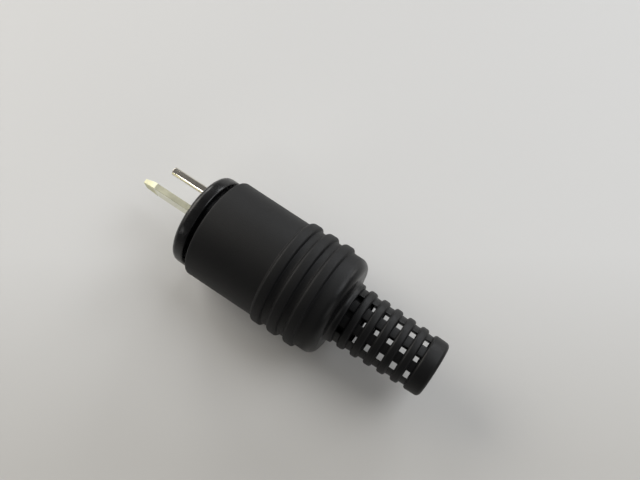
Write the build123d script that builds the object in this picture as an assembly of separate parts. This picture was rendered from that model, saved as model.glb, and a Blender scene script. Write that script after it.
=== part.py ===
import os
from math import cos, radians, sin

from build123d import *

# A two-pin loudspeaker plug, lying on its side: contacts towards -X, cable end towards +X.
# The origin is on the plug's axis, in the plane of the mating face. Sizes are in millimetres.

# Contact carrier: flange, spigot with a snap bead, boss and cradle
flange_diameter = 13.75
flange_thickness = 2.0
flange_front_rounding = 0.8
flange_rear_rounding = 0.25
spigot_clearance = 0.05
bead_height = 0.2
bead_width = 0.8
boss_length = 1.8
boss_clearance = 0.45
cradle_length = 8.5
cradle_wall = 1.0
cradle_rim_clearance = 0.3
partition_thickness = 0.8
partition_rise = 0.6

# Cover: shell that narrows towards the rear, with grip rings, a socket for the spigot and a hollow for the wires
rim_gap = 0.5
rim_diameter = 15.0
cover_diameter = 14.65
cover_length = 21.25
cover_wall = 1.3
rear_wall = 1.4
rim_rounding = 0.35
rear_rounding = 1.4
socket_depth = 4.0
socket_step = 0.3
snap_depth = 1.8
snap_clearance = 0.05
ring_count = 3
ring_pitch = 2.62
ring_width = 1.8
ring_height = 0.5
ring_setback = 3.0

# Bend relief: a tapered cage of ridges, with rows of windows cut straight through from one side to the other
cable_bore = 5.8
relief_root_diameter = 9.0
relief_tip_diameter = 8.0
root_land = 0.98
root_rounding = 0.6
row_count = 6
row_pitch = 2.05
window_length = 0.88
window_columns = 3
column_pitch = 2.35
window_width = 1.0
window_turn = 10.2
rib_depth = 0.4
collar_length = 2.3
collar_rounding = 0.6

# Flat blade contact
blade_height = 3.0
blade_thickness = 0.9
blade_length = 9.9
blade_tip_length = 1.5
blade_tip_height = 2.2
blade_tip_thickness = 0.55
blade_bevel_length = 1.5
shoulder_height = 4.2
tag_height = 2.2
tag_length = 5.0
tag_hole = 1.1

# Round pin contact
pin_diameter = 1.45
pin_length = 7.85
pin_offset = 3.5
pin_tip_rounding = 0.45
pin_root_length = 0.3
shank_diameter = 1.9
collar_diameter = 2.3
collar_thickness = 0.8
cup_diameter = 1.9
cup_wall = 0.3
cup_length = 4.2
cup_depth = 2.8

# Fit of both contacts in the carrier
contact_clearance = 0.02
seat_depth = 2.0

# Roundings are taken in short straight steps, which keeps the meshed part light
nose_steps = 2
shoulder_steps = 3
ring_steps = 4

# Places along the axis
cover_front = flange_thickness + rim_gap
cover_rear = cover_front + cover_length
ledge = cover_front + socket_depth
snap_place = cover_front + snap_depth
boss_rear = ledge + boss_length
contact_seat = boss_rear - seat_depth
first_window = cover_rear + root_land
relief_end = first_window + (row_count - 1) * row_pitch + window_length + collar_length

# Radii
cavity_radius = cover_diameter / 2 - cover_wall
socket_radius = cavity_radius + socket_step
spigot_radius = socket_radius - spigot_clearance
boss_radius = cavity_radius - boss_clearance
bore_radius = cable_bore / 2
flange_radius = flange_diameter / 2
pin_radius = pin_diameter / 2
shank_radius = shank_diameter / 2
collar_radius = collar_diameter / 2
cup_radius = cup_diameter / 2


def rounding(x, radius, along, across, start, end, steps):
    # Points of an elliptical rounding about (x, radius), from a start angle to an end angle
    angles = [radians(start + (end - start) * step / steps) for step in range(steps + 1)]
    return [(x + along * cos(angle), radius + across * sin(angle)) for angle in angles]


def turned(outline):
    # A closed outline of (x, radius) points, turned about the plug's axis
    return revolve(make_face(Polyline(outline, close=True)), Axis.X)


def shell_radius(x):
    # Radius of the tapered shell at x, without its rings
    share = (x - cover_front) / cover_length
    return (rim_diameter + share * (cover_diameter - rim_diameter)) / 2


def relief_radius(x):
    # Radius of the cage's tapered outline at x
    share = (x - cover_rear) / (relief_end - cover_rear)
    return (relief_root_diameter + share * (relief_tip_diameter - relief_root_diameter)) / 2


def window_row(x):
    # What is cut away in one row: a groove down to the ribs, and windows that all run the same way
    reach = relief_root_diameter
    ribs = Sketch() + Circle(relief_radius(x + window_length / 2) - rib_depth)
    for column in range(window_columns):
        offset = (column - (window_columns - 1) / 2) * column_pitch
        ribs -= Rot(0, 0, window_turn) * Pos(offset, 0) * Rectangle(window_width, 2 * reach)
    return extrude(Plane.YZ.offset(x) * (Circle(reach) - ribs), window_length)


def shell_outline():
    # The cover's outside, from the rim over the grip rings to the rear shoulder
    outline = [
        (cover_front, shell_radius(cover_front) - rim_rounding),
        (cover_front + rim_rounding, shell_radius(cover_front)),
    ]
    first_ring = cover_rear - ring_setback - (ring_count - 1) * ring_pitch - ring_width / 2
    for number in range(ring_count):
        middle = first_ring + number * ring_pitch
        outline += rounding(middle, shell_radius(middle), ring_width / 2, ring_height, 180, 0, ring_steps)
    middle = cover_rear - rear_rounding
    below = shell_radius(middle) - rear_rounding
    outline += rounding(middle, below, rear_rounding, rear_rounding, 90, 0, shoulder_steps)
    return outline


def relief_outline():
    # The cage's outside before the windows are cut: a land at the root, the ridges and the end collar
    root_radius = relief_radius(cover_rear)
    tip_radius = relief_radius(relief_end)
    outline = [
        (cover_rear, root_radius + root_rounding),
        (cover_rear + root_rounding, root_radius),
        (first_window, root_radius),
    ]
    for number in range(1, row_count):
        ridge_end = first_window + number * row_pitch
        ridge_start = ridge_end - row_pitch + window_length
        ridge_radius = relief_radius((ridge_start + ridge_end) / 2)
        outline += [(ridge_start, ridge_radius), (ridge_end, ridge_radius)]
    outline += [
        (relief_end - collar_length, tip_radius),
        (relief_end - collar_rounding, tip_radius),
        (relief_end, tip_radius - collar_rounding),
    ]
    return outline


def cover_hollow():
    # The cover's inside, from the cable end to the socket with its snap groove
    groove_reach = socket_radius + bead_height + snap_clearance
    groove_half = bead_width / 2 + snap_clearance
    return [
        (relief_end, bore_radius),
        (cover_rear - rear_wall, bore_radius),
        (cover_rear - rear_wall, cavity_radius),
        (ledge, cavity_radius),
        (ledge, socket_radius),
        (snap_place + groove_half, socket_radius),
        (snap_place + groove_half, groove_reach),
        (snap_place - groove_half, groove_reach),
        (snap_place - groove_half, socket_radius),
        (cover_front, socket_radius),
    ]


def cover():
    shape = turned(shell_outline() + relief_outline() + cover_hollow())
    for number in range(row_count):
        shape -= window_row(first_window + number * row_pitch)
    return shape


def contact_carrier():
    nose = flange_front_rounding
    outline = [(0, 0)]
    outline += rounding(nose, flange_radius - nose, nose, nose, 180, 90, nose_steps)
    outline += [
        (flange_thickness - flange_rear_rounding, flange_radius),
        (flange_thickness, flange_radius - flange_rear_rounding),
        (flange_thickness, spigot_radius),
        (snap_place - bead_width / 2, spigot_radius),
        (snap_place, spigot_radius + bead_height),
        (snap_place + bead_width / 2, spigot_radius),
        (ledge, spigot_radius),
        (ledge, boss_radius),
        (boss_rear, boss_radius),
        (boss_rear, 0),
    ]
    shape = turned(outline) + cradle()
    shape -= blade_profile(contact_clearance)
    shape -= pin_hole()
    return shape


def cradle():
    # A trough under the solder joints, with a partition between the two contacts
    rim = -cup_radius - cradle_rim_clearance
    outside = Circle(boss_radius)
    trough = outside - Circle(boss_radius - cradle_wall)
    trough &= Pos(0, rim) * Rectangle(2 * boss_radius, 2 * boss_radius, align=(Align.CENTER, Align.MAX))
    partition_place = (blade_thickness / 2 + pin_offset - cup_radius) / 2
    top = tag_height / 2 + partition_rise
    wall = Pos(partition_place, top) * Rectangle(
        partition_thickness, 2 * boss_radius, align=(Align.CENTER, Align.MAX)
    )
    return extrude(Plane.YZ.offset(boss_rear) * (trough + (wall & outside)), cradle_length)


def blade_profile(clearance):
    # The blade and its shoulders, grown by a clearance for the slot that holds them
    sketch = Pos(-blade_length, 0) * Rectangle(
        blade_length + contact_seat, blade_height + 2 * clearance, align=(Align.MIN, Align.CENTER)
    )
    sketch += Pos(contact_seat, 0) * Rectangle(
        seat_depth, shoulder_height + 2 * clearance, align=(Align.MIN, Align.CENTER)
    )
    return extrude(Plane.XZ * sketch, blade_thickness / 2 + clearance, both=True)


def blade_contact():
    # The blade's nose slopes on all four sides, first across its height and then across its thickness
    tip = -blade_length
    height_drop = (blade_height - blade_tip_height) / 2
    thickness_drop = (blade_thickness - blade_tip_thickness) / 2
    slopes = (
        (Plane.XZ, blade_height / 2, height_drop, blade_tip_length),
        (Plane.XY, blade_thickness / 2, thickness_drop, blade_bevel_length),
    )
    blade = blade_profile(0)
    for plane, half, drop, length in slopes:
        for side in (1, -1):
            corner = [(tip, side * half), (tip, side * (half - drop)), (tip + length, side * half)]
            blade -= extrude(plane * make_face(Polyline(corner, close=True)), blade_height, both=True)
    tag = Pos(boss_rear, 0) * SlotOverall(2 * tag_length, tag_height)
    tag &= Pos(boss_rear, 0) * Rectangle(tag_length, tag_height, align=(Align.MIN, Align.CENTER))
    tag -= Pos(boss_rear + tag_length - tag_height / 2, 0) * Circle(tag_hole / 2)
    return blade + extrude(Plane.XZ * tag, blade_thickness / 2, both=True)


def pin_hole():
    # The stepped hole that the pin is pushed into from behind
    shank_hole = shank_radius + contact_clearance
    collar_hole = collar_radius + contact_clearance
    shape = turned([
        (-pin_root_length, 0),
        (-pin_root_length, shank_hole),
        (contact_seat, shank_hole),
        (contact_seat, collar_hole),
        (boss_rear, collar_hole),
        (boss_rear, 0),
    ])
    return Pos(0, pin_offset, 0) * shape


def pin_contact():
    tip = pin_tip_rounding
    collar_rear = contact_seat + collar_thickness
    cup_rear = collar_rear + cup_length
    outline = [(-pin_length, 0)]
    outline += rounding(tip - pin_length, pin_radius - tip, tip, tip, 180, 90, nose_steps)
    outline += [
        (-pin_root_length, pin_radius),
        (0, shank_radius),
        (contact_seat, shank_radius),
        (contact_seat, collar_radius),
        (collar_rear, collar_radius),
        (collar_rear, cup_radius),
        (cup_rear, cup_radius),
        (cup_rear, cup_radius - cup_wall),
        (cup_rear - cup_depth, cup_radius - cup_wall),
        (cup_rear - cup_depth, 0),
    ]
    # The cup is open on top, so that a wire can be laid in it
    scoop = Pos(cup_rear, 0, 0) * Box(
        2 * cup_depth, cup_diameter, cup_diameter, align=(Align.CENTER, Align.CENTER, Align.MIN)
    )
    return Pos(0, pin_offset, 0) * (turned(outline) - scoop)


os.makedirs("parts", exist_ok=True)
export_step(cover(), "parts/cover.step")
export_step(contact_carrier(), "parts/contact_carrier.step")
export_step(blade_contact(), "parts/blade_contact.step")
export_step(pin_contact(), "parts/pin_contact.step")
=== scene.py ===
import math

import bmesh
import bpy
from mathutils import Matrix, Vector


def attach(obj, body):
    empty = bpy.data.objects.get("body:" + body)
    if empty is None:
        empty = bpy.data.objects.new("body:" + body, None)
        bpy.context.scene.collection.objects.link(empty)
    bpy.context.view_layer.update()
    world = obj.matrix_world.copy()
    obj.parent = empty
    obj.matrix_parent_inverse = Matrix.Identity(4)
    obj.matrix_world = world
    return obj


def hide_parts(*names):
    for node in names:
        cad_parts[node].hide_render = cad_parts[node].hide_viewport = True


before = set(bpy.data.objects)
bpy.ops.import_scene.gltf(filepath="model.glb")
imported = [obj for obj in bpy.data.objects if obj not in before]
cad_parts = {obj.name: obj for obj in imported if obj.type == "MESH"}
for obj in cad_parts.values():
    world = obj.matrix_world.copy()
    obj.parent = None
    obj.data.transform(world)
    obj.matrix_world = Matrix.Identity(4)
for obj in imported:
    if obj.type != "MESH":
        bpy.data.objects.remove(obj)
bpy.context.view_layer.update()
print("frame loaded:", ", ".join(sorted(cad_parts)))


# shared modelling steps, in millimetres until toMetres

bench = {"weld": 0.0005, "touch": 0.001, "smoothAngle": 32, "bevelAngle": 38, "metre": 0.001}


def choose(*pieces):
    if bpy.context.object and bpy.context.object.mode != "OBJECT":
        bpy.ops.object.mode_set(mode="OBJECT")
    bpy.ops.object.select_all(action="DESELECT")
    for piece in pieces:
        piece.select_set(True)
    bpy.context.view_layer.objects.active = pieces[0]


def startOutline(name, place):
    bpy.ops.object.select_all(action="DESELECT")
    bpy.ops.mesh.primitive_plane_add(size=1)
    piece = bpy.context.object
    piece.name = piece.data.name = name
    bpy.ops.object.mode_set(mode="EDIT")
    bpy.ops.mesh.select_mode(type="VERT")
    bpy.ops.mesh.merge(type="CENTER")  # the plane becomes the first corner of the outline
    bpy.ops.transform.translate(value=(place[0], 0, place[1]))
    return piece


def drawOutline(places):
    for here, there in zip(places, places[1:]):
        step = (there[0] - here[0], 0, there[1] - here[1])
        bpy.ops.mesh.extrude_vertices_move(TRANSFORM_OT_translate={"value": step})


def pick(piece, test):
    bpy.ops.mesh.select_mode(type="VERT")
    bpy.ops.mesh.select_all(action="DESELECT")
    mesh = bmesh.from_edit_mesh(piece.data)
    for corner in mesh.verts:
        if test(corner):
            corner.select_set(True)
    mesh.select_flush_mode()
    bmesh.update_edit_mesh(piece.data)


def roundCorner(piece, place, radius, cuts):
    spot = Vector((place[0], 0, place[1]))
    pick(piece, lambda v: (v.co - spot).length < bench["touch"])
    bpy.ops.mesh.bevel(affect="VERTICES", offset=radius, segments=cuts, profile=0.5)


def closeShape():
    bpy.ops.mesh.select_all(action="SELECT")
    bpy.ops.mesh.remove_doubles(threshold=bench["weld"])
    bpy.ops.mesh.normals_make_consistent(inside=False)


def spinPiece(name, outline, corners, steps, ring=True):  # ring: the outline closes on itself
    piece = startOutline(name, outline[0])
    drawOutline(outline + outline[:1] if ring else outline)
    closeShape()
    for place, radius, cuts in corners:
        roundCorner(piece, place, radius, cuts)
    bpy.ops.mesh.select_all(action="SELECT")
    bpy.ops.mesh.spin(steps=steps, angle=math.radians(360), center=(0, 0, 0), axis=(1, 0, 0))
    closeShape()
    bpy.ops.object.mode_set(mode="OBJECT")
    return piece


def keepSide(piece, place, normal):
    choose(piece)
    bpy.ops.object.mode_set(mode="EDIT")
    bpy.ops.mesh.select_all(action="SELECT")
    bpy.ops.mesh.bisect(plane_co=place, plane_no=normal, use_fill=True, clear_inner=True)
    bpy.ops.object.mode_set(mode="OBJECT")


def makeBox(name, low, high):
    bpy.ops.object.select_all(action="DESELECT")
    bpy.ops.mesh.primitive_cube_add(size=1)
    piece = bpy.context.object
    piece.name = piece.data.name = name
    bpy.ops.object.mode_set(mode="EDIT")
    bpy.ops.mesh.select_all(action="SELECT")
    bpy.ops.transform.resize(value=[b - a for a, b in zip(low, high)], center_override=(0, 0, 0))
    bpy.ops.transform.translate(value=[(a + b) / 2 for a, b in zip(low, high)])
    bpy.ops.object.mode_set(mode="OBJECT")
    return piece


def shiftPiece(piece, value):
    choose(piece)
    bpy.ops.object.mode_set(mode="EDIT")
    bpy.ops.mesh.select_all(action="SELECT")
    bpy.ops.transform.translate(value=value)
    bpy.ops.object.mode_set(mode="OBJECT")


def addModifier(piece, kind, **settings):
    modifier = piece.modifiers.new(kind.lower(), kind)
    for key, value in settings.items():
        setattr(modifier, key, value)
    choose(piece)
    bpy.ops.object.modifier_apply(modifier=modifier.name)


def soften(piece, width, cuts=2, angle=bench["bevelAngle"]):
    addModifier(
        piece, "BEVEL", width=width, segments=cuts,
        limit_method="ANGLE", angle_limit=math.radians(angle),
    )


def cutAway(piece, cutter):
    addModifier(piece, "BOOLEAN", object=cutter, operation="DIFFERENCE", solver="EXACT")
    bpy.data.objects.remove(cutter)


def joinPieces(pieces):
    choose(*pieces)
    bpy.ops.object.join()
    return pieces[0]


def toMetres(piece, smoothAngle=bench["smoothAngle"]):
    choose(piece)
    bpy.ops.object.mode_set(mode="EDIT")
    bpy.ops.mesh.select_all(action="SELECT")
    bpy.ops.transform.resize(value=(bench["metre"],) * 3, center_override=(0, 0, 0))
    bpy.ops.object.mode_set(mode="OBJECT")
    bpy.ops.object.shade_smooth_by_angle(angle=math.radians(smoothAngle))
    print(piece.name, len(piece.data.vertices), "vertices")


# cover: shell, grip rings and bend-relief cage in one moulding

cover = {
    "front": 2.85, "rear": 23.75, "rimRadius": 7.5, "rearRadius": 7.325,
    "bore": 2.9, "cavity": 6.025, "socket": 6.325, "rearWall": 1.4, "ledge": 6.5,
    "snap": 4.3, "snapHalf": 0.45, "snapReach": 6.575,
    "rimRound": 0.3, "rearRound": 1.4, "rootRound": 0.6, "landRound": 0.2, "boreRound": 0.1,
    "ringMiddles": (14.7, 17.32, 19.94), "ringHeight": 0.5,
    "ringFoot": (-0.84, 0.9), "ringCrown": (-0.56, 0.72), "crownRound": (0.26, 0.22), "footRound": (0.1, 0.1),
    "rootRadius": 4.5, "tipRadius": 4.0, "firstWindow": 24.73, "rowPitch": 2.05, "rows": 6, "windowLength": 0.82,
    "ridgeRound": 0.38, "lining": 3.3, "liningEnd": 26.98,
    "end": 38.16, "collarLength": 2.3, "endRound": 0.6, "steps": 192,
    "cuts": {"rim": 5, "crown": 6, "foot": 4, "shoulder": 10, "root": 5, "land": 3, "ridge": 6, "bore": 2},
}
ribs = {  # sides: near and far face of each rib, from the middle
    "depth": 0.4, "sides": ((0.46, 1.89), (2.81, 5.0)), "turn": 10.2,
    "edge": 0.07, "lap": 0.3, "inset": 0.02, "steps": 120,
}


def shellRadius(x):
    share = (x - cover["front"]) / (cover["rear"] - cover["front"])
    return cover["rimRadius"] + share * (cover["rearRadius"] - cover["rimRadius"])


def reliefRadius(x):
    share = (x - cover["rear"]) / (cover["end"] - cover["rear"])
    return cover["rootRadius"] + share * (cover["tipRadius"] - cover["rootRadius"])


def makeShell():
    c, cuts = cover, cover["cuts"]
    rim = (c["front"], c["rimRadius"])
    outline = [(c["front"], c["socket"]), rim]
    corners = [(rim, c["rimRound"], cuts["rim"])]
    for middle in c["ringMiddles"]:
        low = shellRadius(middle)
        high = low + c["ringHeight"]
        crown = [(middle + step, high) for step in c["ringCrown"]]
        foot = [(middle + step, low) for step in c["ringFoot"]]
        outline += [foot[0]] + crown + [foot[1]]
        corners += [(place, radius, cuts["crown"]) for place, radius in zip(crown, c["crownRound"])]
        corners += [(place, radius, cuts["foot"]) for place, radius in zip(foot, c["footRound"])]
    shoulder = (c["rear"], c["rearRadius"])
    root = (c["rear"], c["rootRadius"])
    land = (c["firstWindow"], c["rootRadius"])
    outline += [shoulder, root, land, (c["firstWindow"], c["bore"])]
    corners += [(shoulder, c["rearRound"], cuts["shoulder"]), (root, c["rootRound"], cuts["root"])]
    corners += [(land, c["landRound"], cuts["land"])]
    wall = c["rear"] - c["rearWall"]
    outline += [(wall, c["bore"]), (wall, c["cavity"]), (c["ledge"], c["cavity"]), (c["ledge"], c["socket"])]
    grooveRear, grooveFront = c["snap"] + c["snapHalf"], c["snap"] - c["snapHalf"]
    outline += [(grooveRear, c["socket"]), (grooveRear, c["snapReach"])]
    outline += [(grooveFront, c["snapReach"]), (grooveFront, c["socket"])]
    return spinPiece("cover_shell", outline, corners, c["steps"])


def makeRidge(start, end, endRound):
    bore, cuts = cover["bore"], cover["cuts"]
    outline = [(start, bore), (start, reliefRadius(start)), (end, reliefRadius(end)), (end, bore)]
    corners = [
        (outline[1], cover["ridgeRound"], cuts["ridge"]), (outline[2], endRound, cuts["ridge"]),
        (outline[3], cover["boreRound"], cuts["bore"]),
    ]
    return spinPiece("ridge", outline, corners, cover["steps"])


def makeLining():  # the first row of windows ends blind and the second is half shaded
    start = cover["firstWindow"] - ribs["lap"]
    end, bore, outer = cover["liningEnd"], cover["bore"], cover["lining"]
    return spinPiece("lining", [(start, bore), (start, outer), (end, outer), (end, bore)], [], ribs["steps"])


def makeRibs(near, far, side):
    start = cover["firstWindow"] - ribs["lap"]
    end = cover["end"] - cover["collarLength"] + ribs["lap"]
    inside = cover["bore"] + ribs["inset"]
    startRadius, endRadius = reliefRadius(start) - ribs["depth"], reliefRadius(end) - ribs["depth"]
    outline = [(start, inside), (start, startRadius), (end, endRadius), (end, inside)]
    piece = spinPiece("ribs", outline, [], ribs["steps"])
    keepSide(piece, (0, side * near, 0), (0, side, 0))
    keepSide(piece, (0, side * far, 0), (0, -side, 0))
    soften(piece, ribs["edge"])
    bpy.ops.object.mode_set(mode="EDIT")
    bpy.ops.mesh.select_all(action="SELECT")
    bpy.ops.transform.rotate(value=-math.radians(ribs["turn"]), orient_axis="X", center_override=(0, 0, 0))
    bpy.ops.object.mode_set(mode="OBJECT")
    return piece


def makeCover():
    c = cover
    pieces = [makeShell()]
    for row in range(c["rows"]):
        start = c["firstWindow"] + row * c["rowPitch"] + c["windowLength"]
        last = row == c["rows"] - 1  # the last ridge is the end collar
        end = c["end"] if last else start + c["rowPitch"] - c["windowLength"]
        pieces.append(makeRidge(start, end, c["endRound"] if last else c["ridgeRound"]))
    pieces.append(makeLining())
    for near, far in ribs["sides"]:
        pieces += [makeRibs(near, far, side) for side in (1, -1)]
    piece = joinPieces(pieces)
    toMetres(piece)
    return piece


coverShell = makeCover()


# contact carrier: glossy flange, spigot, boss and the trough behind it; both contacts are sized here too

carrier = {
    "flange": 6.875, "thickness": 2.0, "frontRound": 0.8, "frontCuts": 7, "rearRound": 0.25, "rearCuts": 4,
    "neck": 5.6, "neckRear": 3.3, "spigot": 6.275, "bead": 0.2, "beadHalf": 0.4, "snap": 4.3, "ledge": 6.5,
    "boss": 5.575, "bossRear": 8.3, "seat": 6.3, "clearance": 0.02, "cutPast": 1, "slotLap": 0.1,
    "troughEnd": 16.8, "troughWall": 1.0, "troughRim": -1.25, "troughLap": 0.2, "troughSteps": 96,
    "wallPlace": 1.5, "wallHalf": 0.4, "wallTop": 1.7, "wallFoot": -5.1, "steps": 192,
}
blade = {
    "length": 9.8, "height": 3.0, "thickness": 0.9, "offset": -0.15,
    "tipLength": 1.72, "tipHeight": 2.0, "tipThickness": 0.66, "tipReach": 0.01,
    "seat": 6.3, "shoulderRear": 8.3, "shoulder": 4.2,
    "tagHeight": 2.2, "tagEnd": 13.3, "tagRound": 0.95, "tagCuts": 8, "tagHole": 0.55, "holeDepth": 4, "holeSteps": 40,
    "edge": 0.06, "edgeCuts": 3, "edgeAngle": 20, "smoothAngle": 12,
}
pin = {
    "length": 7.74, "radius": 0.64, "shank": 0.95, "offset": 3.5, "tipRound": 0.1, "tipCuts": 6, "rootLength": 0.3,
    "seat": 6.3, "collar": 1.15, "collarRear": 7.1,
    "cup": 0.95, "cupWall": 0.3, "cupRear": 11.3, "cupFloor": 8.5, "scoop": 2, "cutPast": 1, "steps": 72,
}


def makeCarrier():
    c = carrier
    outline = [
        (0, 0), (0, c["flange"]), (c["thickness"], c["flange"]), (c["thickness"], c["neck"]),
        (c["neckRear"], c["neck"]), (c["neckRear"], c["spigot"]),
        (c["snap"] - c["beadHalf"], c["spigot"]), (c["snap"], c["spigot"] + c["bead"]),
        (c["snap"] + c["beadHalf"], c["spigot"]),
        (c["ledge"], c["spigot"]), (c["ledge"], c["boss"]), (c["bossRear"], c["boss"]), (c["bossRear"], 0),
    ]
    corners = [(outline[1], c["frontRound"], c["frontCuts"]), (outline[2], c["rearRound"], c["rearCuts"])]
    piece = spinPiece("carrier_body", outline, corners, c["steps"], ring=False)
    gap, front, rear = c["clearance"], -c["cutPast"], c["bossRear"] + c["cutPast"]
    half, slotHalf, shoulderHalf = (blade[key] / 2 + gap for key in ("thickness", "height", "shoulder"))
    left, right = blade["offset"] - half, blade["offset"] + half
    slotRear = c["seat"] + c["slotLap"]
    cutAway(piece, makeBox("slot", (front, left, -slotHalf), (slotRear, right, slotHalf)))
    cutAway(piece, makeBox("slot", (c["seat"], left, -shoulderHalf), (rear, right, shoulderHalf)))
    shank, collar = pin["shank"] + gap, pin["collar"] + gap
    hole = [(front, 0), (front, shank), (c["seat"], shank), (c["seat"], collar), (rear, collar), (rear, 0)]
    cutter = spinPiece("hole", hole, [], pin["steps"], ring=False)
    shiftPiece(cutter, (0, pin["offset"], 0))
    cutAway(piece, cutter)
    lap, end = c["bossRear"] - c["troughLap"], c["troughEnd"]
    inside, outside = c["boss"] - c["troughWall"], c["boss"]
    troughOutline = [(lap, inside), (lap, outside), (end, outside), (end, inside)]
    trough = spinPiece("trough", troughOutline, [], c["troughSteps"])
    keepSide(trough, (0, 0, c["troughRim"]), (0, 0, -1))
    wallLow = (lap, c["wallPlace"] - c["wallHalf"], c["wallFoot"])
    wallHigh = (end, c["wallPlace"] + c["wallHalf"], c["wallTop"])
    piece = joinPieces([piece, trough, makeBox("partition", wallLow, wallHigh)])
    toMetres(piece)
    return piece


carrierBody = makeCarrier()


# flat blade contact

def makeBlade():
    b = blade
    tip, body, wide, tag = (b[key] / 2 for key in ("tipHeight", "height", "shoulder", "tagHeight"))
    upper = [
        (-b["length"], tip), (b["tipLength"] - b["length"], body), (b["seat"], body), (b["seat"], wide),
        (b["shoulderRear"], wide), (b["shoulderRear"], tag), (b["tagEnd"], tag),
    ]
    outline = upper + [(x, -z) for x, z in reversed(upper)]
    piece = startOutline("blade", outline[0])
    drawOutline(outline + outline[:1])
    closeShape()
    for side in (1, -1):
        roundCorner(piece, (b["tagEnd"], side * tag), tag * b["tagRound"], b["tagCuts"])
    bpy.ops.mesh.select_all(action="SELECT")
    bpy.ops.mesh.edge_face_add()
    bpy.ops.mesh.extrude_region_move(TRANSFORM_OT_translate={"value": (0, b["thickness"], 0)})
    bpy.ops.mesh.select_all(action="SELECT")
    nearSide = (0, b["offset"] - b["thickness"] / 2, 0)
    bpy.ops.transform.translate(value=nearSide)
    closeShape()
    pick(piece, lambda v: v.co.x < b["tipReach"] - b["length"])
    taper = (1, b["tipThickness"] / b["thickness"], 1)
    bpy.ops.transform.resize(value=taper, center_override=nearSide)  # the tip tapers on its far side only
    bpy.ops.object.mode_set(mode="OBJECT")
    bpy.ops.object.select_all(action="DESELECT")
    bpy.ops.mesh.primitive_cylinder_add(
        vertices=b["holeSteps"], radius=b["tagHole"], depth=b["holeDepth"], rotation=(math.radians(90), 0, 0),
    )
    cutter = bpy.context.object
    bpy.ops.object.transform_apply(location=False, rotation=True, scale=False)
    shiftPiece(cutter, (b["tagEnd"] - tag, 0, 0))
    cutAway(piece, cutter)
    soften(piece, b["edge"], b["edgeCuts"], b["edgeAngle"])
    toMetres(piece, b["smoothAngle"])  # a small angle keeps the flat faces flat
    return piece


bladeMetal = makeBlade()


# round pin contact

def makePin():
    p = pin
    cupBore = p["cup"] - p["cupWall"]
    outline = [
        (-p["length"], 0), (-p["length"], p["radius"]), (-p["rootLength"], p["radius"]), (0, p["shank"]),
        (p["seat"], p["shank"]), (p["seat"], p["collar"]), (p["collarRear"], p["collar"]),
        (p["collarRear"], p["cup"]), (p["cupRear"], p["cup"]), (p["cupRear"], cupBore),
        (p["cupFloor"], cupBore), (p["cupFloor"], 0),
    ]
    piece = spinPiece("pin", outline, [(outline[1], p["tipRound"], p["tipCuts"])], p["steps"], ring=False)
    reach = p["scoop"]
    scoop = makeBox("scoop", (p["cupFloor"], -reach, 0), (p["cupRear"] + p["cutPast"], reach, reach))
    cutAway(piece, scoop)
    shiftPiece(piece, (0, p["offset"], 0))
    toMetres(piece)
    return piece


pinMetal = makePin()


# finishes, in metres

def newFinish(name):
    finish = bpy.data.materials.new(name)
    finish.use_nodes = True
    tree = finish.node_tree
    shader = tree.nodes["Principled BSDF"]
    place = tree.nodes.new("ShaderNodeTexCoord").outputs["Object"]
    return finish, tree, shader, place


def noiseNode(tree, place, scale, detail=2.0, rough=0.5):
    node = tree.nodes.new("ShaderNodeTexNoise")
    tree.links.new(place, node.inputs["Vector"])
    node.inputs["Scale"].default_value = scale
    node.inputs["Detail"].default_value = detail
    node.inputs["Roughness"].default_value = rough
    return node.outputs["Fac"]


def rampNode(tree, source, stops):
    node = tree.nodes.new("ShaderNodeValToRGB")
    tree.links.new(source, node.inputs["Fac"])
    for extra in stops[2:]:  # a new ramp already has two stops
        node.color_ramp.elements.new(0.5)
    for element, (spot, colour) in zip(node.color_ramp.elements, stops):
        element.position, element.color = spot, colour
    return node.outputs["Color"]


def rangeNode(tree, source, low, high, start=0, end=1):
    node = tree.nodes.new("ShaderNodeMapRange")
    tree.links.new(source, node.inputs["Value"])
    node.inputs["From Min"].default_value, node.inputs["From Max"].default_value = start, end
    node.inputs["To Min"].default_value, node.inputs["To Max"].default_value = low, high
    return node.outputs["Result"]


def bumpNode(tree, source, strength, distance):
    node = tree.nodes.new("ShaderNodeBump")
    tree.links.new(source, node.inputs["Height"])
    node.inputs["Strength"].default_value = strength
    node.inputs["Distance"].default_value = distance
    return node.outputs["Normal"]


def mathNode(tree, operation, first, second):
    node = tree.nodes.new("ShaderNodeMath")
    node.operation = operation
    tree.links.new(first, node.inputs[0])
    tree.links.new(second, node.inputs[1])
    return node.outputs["Value"]


def lengthNode(tree, place):
    node = tree.nodes.new("ShaderNodeSeparateXYZ")
    tree.links.new(place, node.inputs["Vector"])
    return node.outputs["X"]


coverFinish = {  # polish: share of the roughness along the rear face, which is smoother than the rest
    "grain": (6000, 3, 0.6), "bump": (0.35, 0.00004), "cloud": (160, 2), "gloss": 0.25, "rough": (0.48, 0.66),
    "tones": ((0.3, (0.0034, 0.0035, 0.0038, 1)), (0.7, (0.0046, 0.0047, 0.0051, 1))),
    "polishSpan": (0.0222, 0.0246), "polish": ((0, 1), (0.35, 0.55), (0.7, 0.55), (1, 0.85)),
}
carrierFinish = {
    "smear": (700, 3), "ripple": (1100, 2), "bump": (0.12, 0.0001), "gloss": 0.32, "rough": (0.2, 0.34),
    "tones": ((0.3, (0.003, 0.003, 0.0033, 1)), (0.7, (0.0045, 0.0045, 0.005, 1))),
}
plating = {"cloud": (900, 2.5), "spread": 0.06, "span": (0.3, 0.7)}
bladePlating = {  # dullTip: where the cut end starts and is fully dull, and its extra roughness
    "colour": (0.95, 0.94, 0.72), "metal": 0.66, "rough": 0.16, "wear": 0.2, "dullTip": (-0.0077, -0.0082, 0.74),
}
pinPlating = {"colour": (0.74, 0.70, 0.62), "metal": 1, "rough": 0.09, "wear": 0.06, "dullTip": None}


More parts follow.
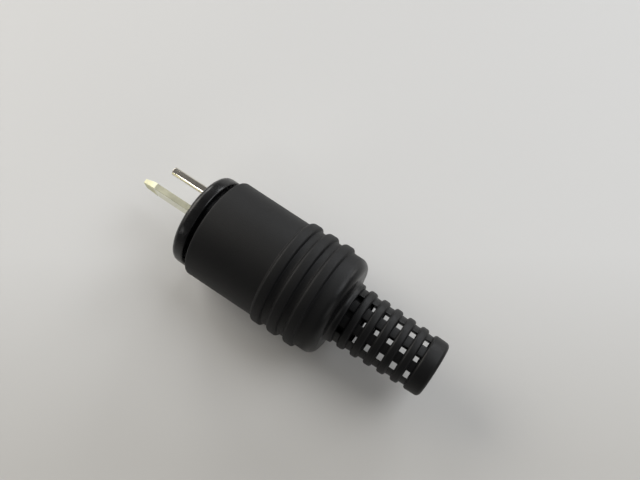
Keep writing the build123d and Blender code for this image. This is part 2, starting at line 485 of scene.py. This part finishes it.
def makeCoverPlastic():
    f = coverFinish
    finish, tree, shader, place = newFinish("cover_plastic")
    grain = noiseNode(tree, place, *f["grain"])
    colour = rampNode(tree, noiseNode(tree, place, *f["cloud"]), f["tones"])
    tree.links.new(colour, shader.inputs["Base Color"])
    shader.inputs["Specular IOR Level"].default_value = f["gloss"]
    share = rangeNode(tree, lengthNode(tree, place), 0, 1, *f["polishSpan"])
    polish = rampNode(tree, share, [(spot, (tone, tone, tone, 1)) for spot, tone in f["polish"]])
    rough = mathNode(tree, "MULTIPLY", rangeNode(tree, grain, *f["rough"]), polish)
    tree.links.new(rough, shader.inputs["Roughness"])
    tree.links.new(bumpNode(tree, grain, *f["bump"]), shader.inputs["Normal"])
    return finish


def makeCarrierPlastic():
    f = carrierFinish
    finish, tree, shader, place = newFinish("carrier_plastic")
    smear = noiseNode(tree, place, *f["smear"])
    tree.links.new(rampNode(tree, smear, f["tones"]), shader.inputs["Base Color"])
    shader.inputs["Specular IOR Level"].default_value = f["gloss"]
    ripple = noiseNode(tree, place, *f["ripple"])
    tree.links.new(bumpNode(tree, ripple, *f["bump"]), shader.inputs["Normal"])
    tree.links.new(rangeNode(tree, smear, *f["rough"]), shader.inputs["Roughness"])
    return finish


def makePlating(name, f):
    finish, tree, shader, place = newFinish(name)
    shader.inputs["Metallic"].default_value = f["metal"]
    cloud = noiseNode(tree, place, *plating["cloud"])
    dark = tuple((1 - f["wear"]) * part for part in f["colour"]) + (1,)
    tone = rampNode(tree, cloud, list(zip(plating["span"], (dark, f["colour"] + (1,)))))
    tree.links.new(tone, shader.inputs["Base Color"])
    rough = rangeNode(tree, cloud, f["rough"], f["rough"] + plating["spread"])
    if f["dullTip"]:
        start, end, extra = f["dullTip"]
        rough = mathNode(tree, "ADD", rough, rangeNode(tree, lengthNode(tree, place), 0, extra, start, end))
    tree.links.new(rough, shader.inputs["Roughness"])
    return finish


finishes = {  # piece: node, slot, material
    "cover_shell": ("cover", "cover_plastic", makeCoverPlastic()),
    "carrier_body": ("contact_carrier", "carrier_plastic", makeCarrierPlastic()),
    "blade": ("blade_contact", "blade_plating", makePlating("blade_plating", bladePlating)),
    "pin": ("pin_contact", "pin_plating", makePlating("pin_plating", pinPlating)),
}
for piece in (coverShell, carrierBody, bladeMetal, pinMetal):
    node, slot, finish = finishes[piece.name]
    piece.data.materials.clear()
    piece.data.materials.append(finish)
    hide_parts(node)
    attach(piece, "root")
print("finishes set")


# table, lights and camera

paper = {  # painted shade: the paper's colour is darker towards its near and far edges, standing in for how the room light falls off across the table
    "size": 1.6, "height": -0.0079005, "turn": -124.5, "span": (-0.075, 0.075),
    "tones": (
        (0.28, (0.532, 0.524, 0.505, 1)), (0.48, (0.615, 0.615, 0.61, 1)), (0.78, (0.565, 0.565, 0.562, 1)),
    ),
    "fibre": (900, 4), "bump": (0.1, 0.0001), "rough": 0.7,
}
studio = {
    "worldColour": (1, 0.982, 0.967, 1), "worldLight": 0.167, "aim": (0.014, 0, 0),
    "tints": {"warm": (1, 0.957, 0.885), "plain": (1, 0.99, 0.97), "cool": (0.945, 0.97, 1)},
    "lamps": (  # name, place, width, power, tint
        ("left_window", (-0.317, 0.055, 0.218), 0.27, 0.89, "warm"),
        ("back_window", (-0.258, 0.259, 0.137), 0.14, 0.41, "plain"),
        ("right_window", (-0.002, 0.373, 0.143), 0.14, 0.42, "cool"),
        ("right_low", (0.182, 0.353, 0.083), 0.16, 0.232, "plain"),
        ("right_high", (0.177, 0.212, 0.297), 0.28, 0.668, "cool"),
        ("near_left", (-0.326, -0.112, 0.18), 0.24, 0.242, "warm"),
        ("near_right", (0.354, -0.112, 0.18), 0.24, 0.132, "plain"),
    ),
}
pinCard = {  # draws the bright line along the round pin
    "place": (-0.0171, -0.0243, 0.0167), "aim": (-0.004, 0.0035, 0),
    "width": 0.016, "height": 0.004, "power": 0.00006, "tint": "plain", "spread": 30,
}
view = {
    "lens": 37.639, "nearest": 0.001, "place": (0.0326636, -0.0189659, 0.0882275),
    "right": (0.82729, 0.561767, 0.003051), "up": (-0.531331, 0.780682, 0.328972),
    "back": (0.182424, -0.273777, 0.944335),
}


def makeTable():
    bpy.ops.object.select_all(action="DESELECT")
    bpy.ops.mesh.primitive_plane_add(size=paper["size"], location=(0, 0, paper["height"]))
    table = bpy.context.object
    table.name = "table"
    finish, tree, shader, place = newFinish("pale_paper")
    turn = tree.nodes.new("ShaderNodeMapping")
    turn.inputs["Rotation"].default_value = (0, 0, math.radians(paper["turn"]))
    tree.links.new(place, turn.inputs["Vector"])
    # painted shade: the paper's colour darkens towards its near and far edges, in place of the light falling off
    # across the table
    depth = rangeNode(tree, lengthNode(tree, turn.outputs["Vector"]), 0, 1, *paper["span"])
    tree.links.new(rampNode(tree, depth, paper["tones"]), shader.inputs["Base Color"])
    fibre = noiseNode(tree, place, *paper["fibre"])
    tree.links.new(bumpNode(tree, fibre, *paper["bump"]), shader.inputs["Normal"])
    shader.inputs["Roughness"].default_value = paper["rough"]
    table.data.materials.append(finish)


def addLamp(name, place, aim, width, height, power, tint, spread=180):
    data = bpy.data.lights.new(name, "AREA")
    data.shape = "ELLIPSE"
    data.size, data.size_y = width, height
    data.energy = power
    data.color = studio["tints"][tint]
    data.spread = math.radians(spread)
    lamp = bpy.data.objects.new(name, data)
    bpy.context.scene.collection.objects.link(lamp)
    lamp.location = place
    lamp.rotation_euler = (Vector(aim) - Vector(place)).to_track_quat("-Z", "Y").to_euler()


def makeWorld():
    world = bpy.data.worlds.new("room")
    world.use_nodes = True
    background = world.node_tree.nodes["Background"]
    background.inputs["Color"].default_value = studio["worldColour"]
    background.inputs["Strength"].default_value = studio["worldLight"]
    bpy.context.scene.world = world


def makeCamera():
    data = bpy.data.cameras.new("photo_view")
    data.lens = view["lens"]
    data.clip_start = view["nearest"]
    camera = bpy.data.objects.new("photo_view", data)
    bpy.context.scene.collection.objects.link(camera)
    camera.location = view["place"]
    camera.rotation_euler = Matrix((view["right"], view["up"], view["back"])).transposed().to_euler()
    bpy.context.scene.camera = camera


makeTable()
for name, place, width, power, tint in studio["lamps"]:
    addLamp(name, place, studio["aim"], width, width, power, tint)
addLamp("pin_card", **pinCard)
makeWorld()
makeCamera()
bpy.context.scene.view_settings.view_transform = "Standard"
print("table, lights and camera set")
